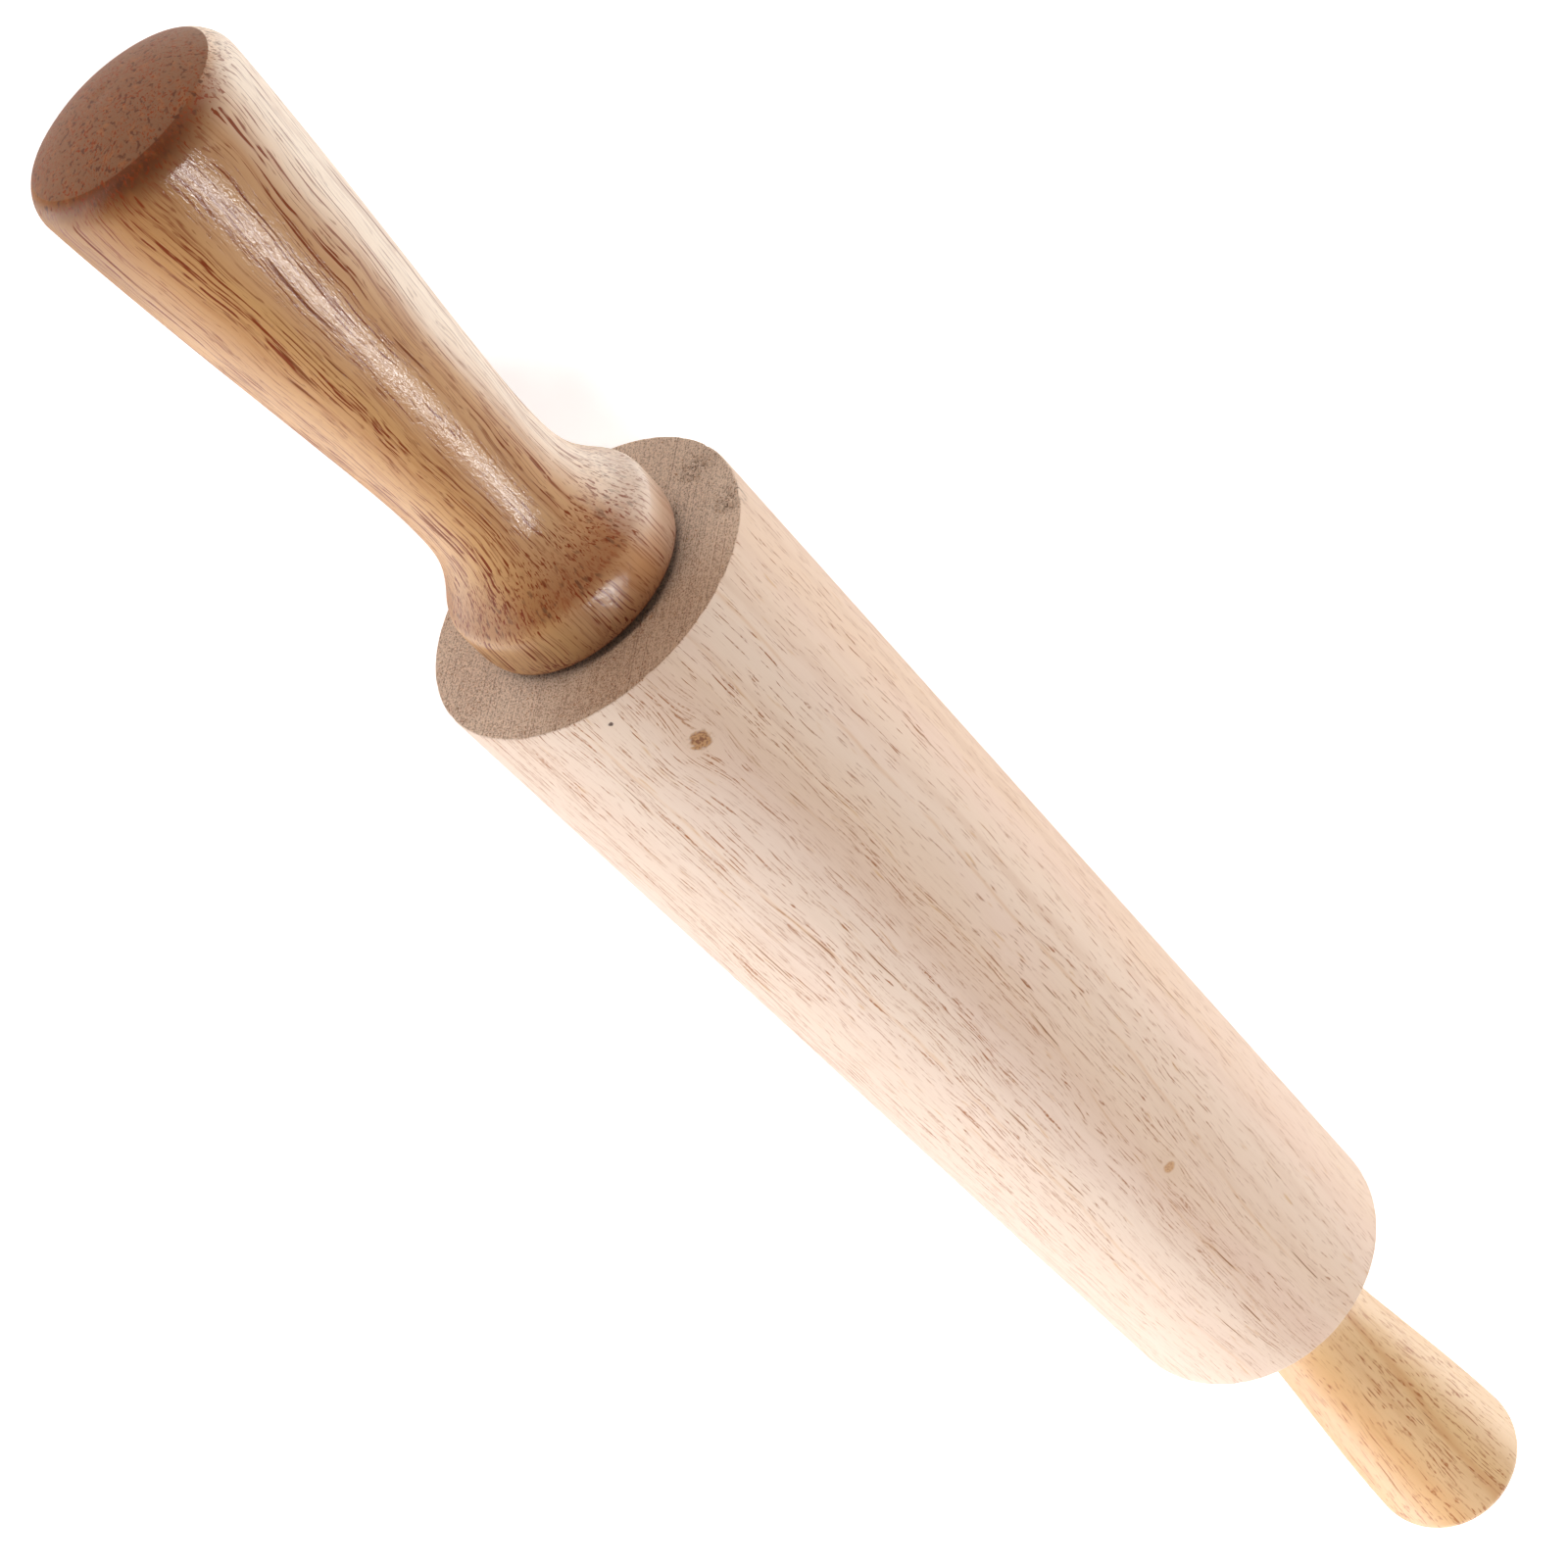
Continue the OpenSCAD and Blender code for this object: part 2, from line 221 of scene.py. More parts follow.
def growthLineShare(tree, wood, grain, line):
    mark = span(tree, calc(tree, "ABSOLUTE", acrossGrain(tree, wood, grain, line)), line["wide"], 0.0)
    breaks = span(tree, cloud(tree, grain, wood["lineBreaks"], 2.0), *levels["lineBreak"])
    return calc(tree, "MULTIPLY", calc(tree, "MULTIPLY", mark, breaks), line["share"])


# Threads of darker wood: fine lines where the surface follows the grain, dots where it cuts across
def threadShare(tree, wood, grain, thread):
    mark = span(tree, cloud(tree, grain, thread["stretch"], 1.0), *thread["level"])
    beads = cloud(tree, grain, (thread["bead"],) + thread["stretch"][1:], 0.0)
    mark = calc(tree, "MULTIPLY", mark, span(tree, beads, *levels["bead"], thread["faintest"], 1.0))
    if "crowd" in thread:
        crowd = cloud(tree, grain, thread["crowd"], 0.0)
        mark = calc(tree, "MULTIPLY", mark, span(tree, crowd, *levels["crowd"], thread["sparsest"], 1.0))
    if "fade" in thread:
        along = calc(tree, "SUBTRACT", put(tree, "SeparateXYZ", {0: grain}).outputs[0], wood["cutAt"][0])
        mark = calc(tree, "MULTIPLY", mark, span(tree, along, *thread["fade"]))
    if "side" in thread:
        sideways = acrossGrain(tree, wood, grain, thread["side"])
        soft = thread["side"]["soft"]
        mark = calc(tree, "MULTIPLY", mark, span(tree, sideways, -soft, soft))
    return mark


# Vessels: single round tubes in the wood, each with its own bore, opened by the cut. Gives hole and stain
def vesselShare(tree, grain, vessel):
    apart = vessel["apart"]
    parts = put(tree, "SeparateXYZ", {0: grain}).outputs
    section = put(tree, "CombineXYZ", {0: parts[1], 1: parts[2]}).outputs[0]
    cells = put(tree, "TexVoronoi", {
        "Vector": vectorCalc(tree, "DIVIDE", section, (apart,) * 3), "Scale": 1.0,
    }, voronoi_dimensions="2D", feature="F1")
    chance = put(tree, "SeparateColor", {0: cells.outputs["Color"]}).outputs[0]
    size = span(tree, chance, 0.0, 1.0, vessel["smallest"] / apart, vessel["largest"] / apart)
    breaks = cloud(tree, grain, (vessel["runs"], apart, apart), 0.0)
    size = calc(tree, "MULTIPLY", size, span(tree, breaks, *vessel["breaksAt"]))
    least = 0.001
    near = calc(tree, "DIVIDE", cells.outputs["Distance"], calc(tree, "MAXIMUM", size, least))
    return span(tree, near, *levels["hole"]), span(tree, near, vessel["stainReach"], levels["stain"])


def spotShare(tree, place, centre, reach):
    away = vectorCalc(tree, "DIVIDE", vectorCalc(tree, "SUBTRACT", place, centre), reach)
    return span(tree, vectorCalc(tree, "LENGTH", away, out="Value"), *levels["spot"])


def knotColour(tree, place, colour, knot, reach, fade):
    shape, core = knotShape, knot["core"]
    inCore = span(tree, reach, *(share * core for share in shape["core"]))
    rim = span(tree, reach, *(share * core for share in shape["rim"]), *shape["rimShare"])
    heart = span(tree, reach, *(share * core for share in shape["heart"]), *shape["heartShare"])
    flecks = span(tree, cloud(tree, place, (shape["mottle"],) * 3, 3.0), *shape["fleckShare"])
    dark = calc(tree, "ADD", calc(tree, "ADD", rim, heart), flecks, clamp=True)
    halo = calc(tree, "MULTIPLY", fade, knot["haloShare"])
    colour = blendTones(tree, halo, colour, knot["haloTone"])
    inside = blendTones(tree, dark, knot["tone"], knot["heartTone"])
    return blendTones(tree, calc(tree, "MULTIPLY", inCore, knot["share"]), colour, inside)


def woodColour(tree, wood):
    grain, spots, place, cut = woodGrain(tree, wood)
    broad = cloud(tree, grain, wood["broadBand"], 1.0)
    tint = cloud(tree, grain, wood["tintPatch"], 1.0)
    streak = cloud(tree, grain, wood["streak"], 2.0, 0.6)
    fibre = cloud(tree, grain, wood["fibre"], 2.0, 0.6)
    colour = blendTones(tree, span(tree, broad, *levels["broad"]), wood["pale"], wood["warm"])
    tinted = calc(tree, "MULTIPLY", span(tree, tint, *levels["tint"]), wood["tintShare"])
    colour = blendTones(tree, tinted, colour, wood["tint"])
    darker = calc(tree, "MULTIPLY", span(tree, streak, *levels["streak"]), wood["streakShare"])
    colour = blendTones(tree, darker, colour, wood["dark"])
    sapwood = 0.0
    for band in wood["bands"]:
        share = bandShare(tree, wood, grain, streak, band)
        colour = blendTones(tree, share, colour, band["tone"])
        sapwood = calc(tree, "MAXIMUM", sapwood, calc(tree, "MULTIPLY", share, band["sap"]))
    for line in wood["growthLines"]:
        colour = blendTones(tree, growthLineShare(tree, wood, grain, line), colour, line["tone"])
    flecks = blendTones(tree, span(tree, fibre, *levels["fleck"]), wood["dark"], wood["pale"])
    colour = blendTones(tree, wood["fibreShare"], colour, flecks, "SOFT_LIGHT")
    # Patches of stain; on the left handle some of them are painted shade
    for stain in wood["stainsAndShades"]:
        near = calc(tree, "MULTIPLY", spotShare(tree, place, stain["place"], stain["reach"]), stain["share"])
        colour = blendTones(tree, near, colour, stain["tone"])
    if "soakTone" in wood:
        soaked = calc(tree, "MULTIPLY", span(tree, cut, *wood["soakFrom"]), span(tree, cut, *wood["soakTo"]))
        soakLevel = span(tree, sapwood, 0.0, 1.0, wood["soakShare"], wood["sapSoakShare"])
        soaked = calc(tree, "MULTIPLY", soaked, soakLevel)
        colour = blendTones(tree, soaked, colour, wood["soakTone"], "MULTIPLY")
    endGrain = span(tree, cut, *wood["endGrainFrom"])
    ended = calc(tree, "MULTIPLY", endGrain, wood["endShare"])
    colour = blendTones(tree, ended, colour, wood["endTone"])
    holes = 0.0
    clear = span(tree, sapwood, *levels["sap"])
    for knot, reach, _ in spots:
        edge = (knot["core"] + knotShape["clearFrom"], knot["core"] + knotShape["clearTo"])
        clear = calc(tree, "MULTIPLY", clear, span(tree, reach, *edge))
    for thread in wood["threads"]:
        mark = calc(tree, "MULTIPLY", threadShare(tree, wood, grain, thread), clear)
        if "onCut" in thread:
            mark = calc(tree, "MULTIPLY", mark, span(tree, cut, *thread["onCut"]))
        colour = blendTones(tree, calc(tree, "MULTIPLY", mark, thread["share"]), colour, thread["tone"])
        holes = calc(tree, "MAXIMUM", holes, calc(tree, "MULTIPLY", mark, thread["depth"]))
    for vessel in wood["vessels"]:
        hole, stain = (calc(tree, "MULTIPLY", part, clear) for part in vesselShare(tree, grain, vessel))
        ringed = calc(tree, "MULTIPLY", stain, vessel["stainShare"])
        colour = blendTones(tree, ringed, colour, vessel["stainTone"])
        colour = blendTones(tree, calc(tree, "MULTIPLY", hole, vessel["share"]), colour, vessel["tone"])
        holes = calc(tree, "MAXIMUM", holes, calc(tree, "MULTIPLY", hole, vessel["depth"]))
    for knot, reach, fade in spots:
        colour = knotColour(tree, place, colour, knot, reach, fade)
    return colour, holes, fibre, cut, endGrain, place


# What all three woods share. The grain sways round the axis, in full from swayRadius outwards
rubberwood = {
    "waves": [((110.0, 60.0, 60.0), 8.0), ((24.0, 10.0, 10.0), 1.8), ((7.0, 4.0, 4.0), 0.4)],
    "broadBand": (260.0, 16.0, 16.0), "tintPatch": (70.0, 11.0, 11.0),
    "streak": (120.0, 3.2, 3.2),
    "fibre": (9.0, 0.22, 0.22),
    "swayRadius": 12.0, "lineBreaks": (14.0, 2.0, 2.0),
    "growthLines": [], "knots": [], "stainsAndShades": [], "tapers": [],
}

barrelWood = dict(
    rubberwood,
    middle=0.0, cutAt=(40.0, 25.0, 12.0), lean=0.9, drift=0.4,
    pale=tone(234, 210, 192), warm=tone(230, 202, 180), dark=tone(208, 176, 154),
    tint=tone(233, 205, 190), tintShare=0.5,
    streakShare=0.4, fibreShare=0.3,
    endGrainFrom=(0.6, 0.95), endShare=0.85, endTone=tone(236, 208, 184),
    tears=[
        {
            "place": (-126.5, 27.0, -2.5), "reach": (4.0, 3.4, 3.4),
            "stretch": (2.0, 1.2, 0.4), "level": (0.57, 0.63),
        },
        {
            "place": (-126.5, 28.0, 11.0), "reach": (4.0, 4.2, 4.2),
            "stretch": (2.0, 1.8, 0.4), "level": (0.54, 0.59),
        },
    ],
    # Painted shade in the cracks of the torn patches
    tearShadeTone=tone(92, 60, 38),
    # The shaded spot is a painted shadow: the near end face darkened round the top of the handle's collar
    shadedSpot=(-126.5, 3.0, 27.0), shadedReach=(4.0, 40.0, 24.0), shadedTone=tone(206, 192, 180),
    bands=[{
        "angle": 0.0, "at": -6.0, "wide": 9.0, "soft": 2.5, "ragged": 9.0,
        "share": 0.35, "sap": 0.0, "tone": tone(210, 178, 160),
    }, {
        # Painted light: a paler band down the barrel's left side, where the left lamp falls
        "angle": 150.0, "at": 21.0, "wide": 60.0, "soft": 9.0, "ragged": 6.0,
        "share": 0.5, "sap": 0.0, "tone": tone(236, 218, 206),
    }],
    growthLines=[
        {"angle": 0.0, "slant": 0.03, "at": 12.6, "wide": 0.5, "share": 0.4, "tone": tone(206, 162, 120)},
        {"angle": 0.0, "slant": 0.0, "at": -15.5, "wide": 0.5, "share": 0.35, "tone": tone(212, 170, 128)},
        {"angle": 0.0, "slant": 0.05, "at": 2.5, "wide": 0.35, "share": 0.4, "tone": tone(206, 166, 128)},
    ],
    threads=[
        {
            "stretch": (8.0, 0.8, 0.8), "level": (0.66, 0.78), "bead": 5.0, "faintest": 0.3,
            "tone": tone(212, 168, 118), "share": 0.6, "depth": 0.0,
        },
        {
            "stretch": (34.0, 0.26, 0.26), "level": (0.595, 0.65), "bead": 0.7, "faintest": 0.25,
            "crowd": (60.0, 5.0, 5.0), "sparsest": 0.2,
            "side": {"angle": 180.0, "at": -9.0, "soft": 4.0},
            "fade": (0.0, 90.0, 1.0, 0.6), "tone": tone(164, 98, 46), "share": 0.95, "depth": 0.15,
        },
        {
            "stretch": (6.0, 0.27, 0.27), "level": (0.63, 0.675), "bead": 0.8, "faintest": 0.4,
            "crowd": (40.0, 6.0, 6.0), "sparsest": 0.6,
            "fade": (0.0, 90.0, 1.0, 0.7), "tone": tone(158, 92, 40), "share": 1.0, "depth": 0.15,
        },
    ],
    vessels=[{
        "apart": 1.9, "smallest": 0.05, "largest": 0.16, "runs": 14.0, "breaksAt": (0.46, 0.58),
        "tone": tone(136, 78, 36), "share": 0.95, "depth": 0.3,
        "stainReach": 2.6, "stainShare": 0.3, "stainTone": tone(206, 160, 112),
    }],
    knots=[
        {
            "x": -109.4, "angle": 95.7, "radius": 32.0, "core": 1.9, "ragged": 2.6,
            "swirlLength": 7.0, "swirlWidth": 4.0, "swirl": 0.8,
            "tone": tone(190, 140, 90), "heartTone": tone(130, 74, 36), "share": 0.92,
            "haloTone": tone(222, 190, 160), "haloShare": 0.3,
        },
        {
            "x": 49.8, "angle": 85.4, "radius": 32.0, "core": 1.3, "ragged": 0.8,
            "swirlLength": 6.0, "swirlWidth": 2.6, "swirl": 0.6,
            "tone": tone(206, 158, 112), "heartTone": tone(182, 128, 82), "share": 0.85,
            "haloTone": tone(214, 182, 152), "haloShare": 0.35,
        },
        {
            "x": -122.8, "angle": 111.8, "radius": 32.0, "core": 0.45, "ragged": 0.9,
            "swirlLength": 1.5, "swirlWidth": 0.8, "swirl": 0.2,
            "tone": tone(86, 62, 56), "heartTone": tone(60, 42, 40), "share": 0.9,
            "haloTone": tone(206, 176, 150), "haloShare": 0.1,
        },
    ],
)

leftHandleWood = dict(
    rubberwood,
    waves=[((90.0, 50.0, 50.0), 5.0), ((22.0, 8.0, 8.0), 2.4), ((7.0, 3.0, 3.0), 0.6)],
    middle=-186.5, cutAt=(15.0, 8.0, -20.0), lean=0.8, drift=0.5,
    tapers=[(-159.5, -237.0, 0.72), (-154.0, -138.0, 0.82)],
    pale=tone(209, 164, 121), warm=tone(199, 150, 106), dark=tone(168, 108, 64),
    tint=tone(201, 157, 98), tintShare=0.6,
    streakShare=0.35, fibreShare=0.14,
    soakFrom=(0.2, 0.7), soakTo=(0.83, 0.79),
    soakShare=0.6, sapSoakShare=0.15, soakTone=tone(186, 134, 84),
    endGrainFrom=(0.79, 0.82), endShare=0.96, endTone=tone(126, 86, 60),
    bands=[
        {
            "angle": 5.0, "slant": -0.03, "at": 11.1, "wide": 60.0, "soft": 3.0, "ragged": 4.0,
            "share": 0.96, "sap": 1.0, "tone": tone(253, 234, 214),
        },
        # Painted light: a paler band on the left side of the grip and flare, where the left lamps light it
        {
            "angle": 165.0, "at": 7.5, "wide": 60.0, "soft": 5.0, "ragged": 5.0,
            "share": 0.45, "sap": 0.6, "tone": tone(224, 178, 124),
        },
    ],
    stainsAndShades=[
        {
            "place": (-248.0, -6.0, 10.0), "reach": (30.0, 28.0, 28.0),
            "share": 0.75, "tone": tone(150, 96, 54),
        },
        # Painted shade: the lower left rim by the end is darkened to a deep gold, set against the lacquer's
        # sheen there
        {
            "place": (-237.0, -20.0, 1.0), "reach": (30.0, 18.0, 24.0),
            "share": 0.95, "tone": tone(162, 108, 34),
        },
        # Partly the end grain's darker soak and partly painted shade: a dark ring on the corner round the
        # end disc
        {
            "place": (-241.4, -3.0, 16.0), "reach": (7.0, 24.0, 24.0),
            "share": 0.85, "tone": tone(104, 52, 20),
        },
        {
            "place": (-216.0, -12.0, 15.0), "reach": (30.0, 11.0, 11.0),
            "share": 0.5, "tone": tone(186, 130, 76),
        },
        {
            "place": (-139.5, 4.0, 12.0), "reach": (6.0, 34.0, 34.0),
            "share": 0.36, "tone": tone(140, 78, 36),
        },
        # Painted shade on the collar, where the barrel's end shades it
        {
            "place": (-130.5, 13.0, 12.0), "reach": (9.5, 28.0, 28.0),
            "share": 0.6, "tone": tone(184, 120, 72),
        },
    ],
    threads=[
        {
            "stretch": (40.0, 1.2, 1.2), "level": (0.54, 0.7), "bead": 16.0, "faintest": 0.3,
            "tone": tone(164, 96, 48), "share": 0.32, "depth": 0.0,
        },
        {
            "stretch": (36.0, 0.4, 0.4), "level": (0.57, 0.615), "bead": 3.0, "faintest": 0.3,
            "crowd": (50.0, 4.0, 4.0), "sparsest": 0.35,
            "tone": tone(128, 54, 20), "share": 1.0, "depth": 0.3,
        },
        {
            "stretch": (50.0, 0.28, 0.28), "level": (0.575, 0.62), "bead": 8.0, "faintest": 0.2,
            "crowd": (60.0, 3.0, 3.0), "sparsest": 0.4,
            "tone": tone(132, 58, 22), "share": 1.0, "depth": 0.2,
        },
        {
            "stretch": (4.0, 0.42, 0.42), "level": (0.64, 0.71), "bead": 1.2, "faintest": 0.4,
            "tone": tone(130, 62, 30), "share": 0.6, "depth": 0.3,
        },
        {
            "stretch": (6.0, 0.6, 0.6), "level": (0.58, 0.68), "bead": 2.0, "faintest": 0.6,
            "onCut": (0.3, 0.7), "tone": tone(84, 46, 28), "share": 0.85, "depth": 0.3,
        },
    ],
    vessels=[{
        "apart": 1.8, "smallest": 0.08, "largest": 0.27, "runs": 16.0, "breaksAt": (0.45, 0.58),
        "tone": tone(116, 52, 24), "share": 0.85, "depth": 0.8,
        "stainReach": 2.2, "stainShare": 0.2, "stainTone": tone(160, 88, 42),
    }],
)

rightHandleWood = dict(
    leftHandleWood,
    waves=[((90.0, 50.0, 50.0), 5.0), ((22.0, 8.0, 8.0), 1.3), ((7.0, 3.0, 3.0), 0.25)],
    middle=186.5, cutAt=(-60.0, 31.0, 9.0), lean=-1.2, drift=1.0,
    tapers=[(159.5, 237.0, 0.72), (154.0, 138.0, 0.82)],
    pale=tone(231, 195, 154), warm=tone(227, 187, 142), dark=tone(206, 158, 112),
    tint=tone(229, 191, 138), tintShare=0.5,
    streakShare=0.3, fibreShare=0.1, soakShare=0.5,
    bands=[
        {
            "angle": 0.0, "slant": 0.06, "at": 4.5, "wide": 1.6, "soft": 1.0, "ragged": 5.0,
            "share": 0.42, "sap": 0.0, "tone": tone(194, 128, 70),
        },
        {
            "angle": 170.0, "at": 6.5, "wide": 60.0, "soft": 5.0, "ragged": 6.0,
            "share": 0.6, "sap": 0.0, "tone": tone(220, 168, 116),
        },
        {
            "angle": -10.0, "at": 8.0, "wide": 60.0, "soft": 5.0, "ragged": 6.0,
            "share": 0.7, "sap": 0.5, "tone": tone(232, 196, 154),
        },
    ],
    stainsAndShades=[],
    threads=[
        {
            "stretch": (40.0, 1.2, 1.2), "level": (0.56, 0.72), "bead": 12.0, "faintest": 0.3,
            "tone": tone(196, 140, 84), "share": 0.35, "depth": 0.0,
        },
        {
            "stretch": (30.0, 0.42, 0.42), "level": (0.6, 0.65), "bead": 2.4, "faintest": 0.25,
            "crowd": (50.0, 4.0, 4.0), "sparsest": 0.2,
            "tone": tone(166, 96, 46), "share": 0.8, "depth": 0.2,
        },
        {
            "stretch": (5.5, 0.5, 0.5), "level": (0.6, 0.66), "bead": 1.6, "faintest": 0.4,
            "crowd": (26.0, 6.0, 6.0), "sparsest": 0.5,
            "tone": tone(168, 98, 50), "share": 0.85, "depth": 0.2,
        },
    ],
    vessels=[dict(
        leftHandleWood["vessels"][0],
        tone=tone(146, 84, 42), stainTone=tone(196, 138, 88), share=0.8,
    )],
)


sawnEnd = {
    "grit": 0.36, "gritShare": 0.65, "sawLine": 0.45, "sawShare": 0.35, "sawWay": (0.0, 0.78, 0.62),
    "speckle": (0.54, 0.4), "speckleShare": 0.7, "speckleTone": tone(140, 116, 98),
    "roughness": 12.0, "tearShadeShare": 0.9, "tearDepth": 3.0,
}

rawSide = {
    "fibreHeight": 0.12, "poreDepth": 0.2, "bump": 0.6, "depth": 0.12,
    "roughness": (0.2, 0.8, 0.56, 0.7), "specular": 0.5,
}


# The barrel: bare wood, sanded round its side and rough with saw marks on its ends
def rawWood(name, wood):
    material, tree = newTree(name)
    colour, holes, fibre, _, endGrain, place = woodColour(tree, wood)
    grit = cloud(tree, place, (sawnEnd["grit"],) * 3, 3.0, 0.7)
    acrossSaw = vectorCalc(tree, "DOT_PRODUCT", place, sawnEnd["sawWay"], out="Value")
    sawLines = cloud(tree, acrossSaw, (sawnEnd["sawLine"],) * 3, 2.0, 0.6)
    grit = calc(tree, "MULTIPLY", grit, sawnEnd["gritShare"])
    sawn = calc(tree, "ADD", grit, calc(tree, "MULTIPLY", sawLines, sawnEnd["sawShare"]))
    speckle = calc(tree, "MULTIPLY", endGrain, sawnEnd["speckleShare"])
    speckle = calc(tree, "MULTIPLY", span(tree, sawn, *sawnEnd["speckle"]), speckle)
    colour = blendTones(tree, speckle, colour, sawnEnd["speckleTone"], "MULTIPLY")
    rough = calc(tree, "MULTIPLY", endGrain, sawnEnd["roughness"])
    rough = calc(tree, "MULTIPLY", calc(tree, "SUBTRACT", sawn, 0.5), rough)
    # Painted shadow of the handle's collar on the near end face
    shaded = spotShare(tree, place, wood["shadedSpot"], wood["shadedReach"])
    shaded = calc(tree, "MULTIPLY", shaded, endGrain)
    colour = blendTones(tree, shaded, colour, wood["shadedTone"], "MULTIPLY")
    for tear in wood["tears"]:
        crack = span(tree, cloud(tree, place, tear["stretch"], 3.0, 0.6), *tear["level"])
        crack = calc(tree, "MULTIPLY", crack, spotShare(tree, place, tear["place"], tear["reach"]))
        # The cracks are sunk into the bump and take painted shade
        torn = calc(tree, "MULTIPLY", crack, sawnEnd["tearShadeShare"])
        colour = blendTones(tree, torn, colour, wood["tearShadeTone"])
        rough = calc(tree, "SUBTRACT", rough, calc(tree, "MULTIPLY", crack, sawnEnd["tearDepth"]))
    height = calc(tree, "MULTIPLY", fibre, rawSide["fibreHeight"])
    height = calc(tree, "SUBTRACT", height, calc(tree, "MULTIPLY", holes, rawSide["poreDepth"]))
    bump = put(tree, "Bump", {
        "Strength": rawSide["bump"], "Distance": rawSide["depth"] * mm,
        "Height": calc(tree, "ADD", height, rough),
    })
    shader = put(tree, "BsdfPrincipled", {
        "Base Color": colour,
        "Roughness": span(tree, fibre, *rawSide["roughness"]),
        "Specular IOR Level": rawSide["specular"],
        "Normal": bump.outputs[0],
    })
    put(tree, "OutputMaterial", {"Surface": shader.outputs[0]})
    return material


# The fades take the lacquer's gloss off the end grain, off the grazing rim and out of the open pores
lacquer = {
    "pooled": (0.8, 0.42, 0.42), "poreDip": 0.5, "coatBump": 1.0, "coatDepth": 0.075,
    "worn": (1.6, 0.4, 0.4), "coatRoughness": (0.35, 0.65, 0.07, 0.26), "coatIor": 1.58,
    "endFade": (0.5, 0.8, 1.0, 0.06), "rimFade": (0.5, 0.9, 1.0, 0.15), "poreFade": (0.05, 0.6, 1.0, 0.25),
    "fibreHeight": 0.08, "poreDepth": 0.4, "bump": 0.5, "depth": 0.12,
    "roughness": (0.2, 0.8, 0.42, 0.55), "specular": 0.1,
}


# The handles: stained wood under a clear coat
def lacqueredWood(name, wood):
    material, tree = newTree(name)
    colour, holes, fibre, cut, _, place = woodColour(tree, wood)
    height = calc(tree, "MULTIPLY", fibre, lacquer["fibreHeight"])
    height = calc(tree, "SUBTRACT", height, calc(tree, "MULTIPLY", holes, lacquer["poreDepth"]))
    bump = put(tree, "Bump", {
        "Strength": lacquer["bump"], "Distance": lacquer["depth"] * mm, "Height": height,
    })
    facing = put(tree, "LayerWeight", {"Blend": 0.5}).outputs["Facing"]
    gloss = span(tree, cut, *lacquer["endFade"])
    gloss = calc(tree, "MULTIPLY", gloss, span(tree, facing, *lacquer["rimFade"]))
    gloss = calc(tree, "MULTIPLY", gloss, span(tree, holes, *lacquer["poreFade"]))
    pooled = cloud(tree, place, lacquer["pooled"], 2.0, 0.6)
    worn = cloud(tree, place, lacquer["worn"], 2.0, 0.7)
    skin = calc(tree, "SUBTRACT", pooled, calc(tree, "MULTIPLY", holes, lacquer["poreDip"]))
    coatBump = put(tree, "Bump", {
        "Strength": lacquer["coatBump"], "Distance": lacquer["coatDepth"] * mm, "Height": skin,
    })
    shader = put(tree, "BsdfPrincipled", {
        "Base Color": colour,
        "Roughness": span(tree, fibre, *lacquer["roughness"]),
        "Specular IOR Level": lacquer["specular"],
        "Coat Weight": gloss,
        "Coat Roughness": span(tree, worn, *lacquer["coatRoughness"]),
        "Coat IOR": lacquer["coatIor"],
        "Normal": bump.outputs[0],
        "Coat Normal": coatBump.outputs[0],
    })
    put(tree, "OutputMaterial", {"Surface": shader.outputs[0]})
    return material


# Metal: turned, pressed and polished pieces inside the pin

metalLevels = {"smudge": (0.3, 0.7), "marks": (0.25, 0.75), "depth": 0.02}


def metal(name, finish):
    material, tree = newTree(name)
    coordinates = put(tree, "TexCoord").outputs["Object"]
    place = vectorCalc(tree, "SCALE", coordinates, 1.0 / mm)
    parts = put(tree, "SeparateXYZ", {0: place}).outputs
    section = put(tree, "CombineXYZ", {0: parts[1], 1: parts[2]}).outputs[0]
    radius = vectorCalc(tree, "LENGTH", section, out="Value")
    ringPlace = put(tree, "CombineXYZ", {0: parts[0], 1: radius}).outputs[0]
    marks = cloud(tree, ringPlace, (finish["marks"],) * 3, 2.0, 0.6)
    smudge = cloud(tree, place, (finish["smudge"],) * 3, 3.0, 0.6)
    colour = blendTones(tree, span(tree, smudge, *metalLevels["smudge"]), finish["tone"], finish["dull"])
    bump = put(tree, "Bump", {
        "Strength": finish["bump"], "Distance": metalLevels["depth"] * mm, "Height": marks,
    })
    shader = put(tree, "BsdfPrincipled", {
        "Base Color": colour,
        "Metallic": 1.0,
        "Roughness": span(tree, marks, *metalLevels["marks"], *finish["roughness"]),
        "Normal": bump.outputs[0],
    })
    put(tree, "OutputMaterial", {"Surface": shader.outputs[0]})
    return material


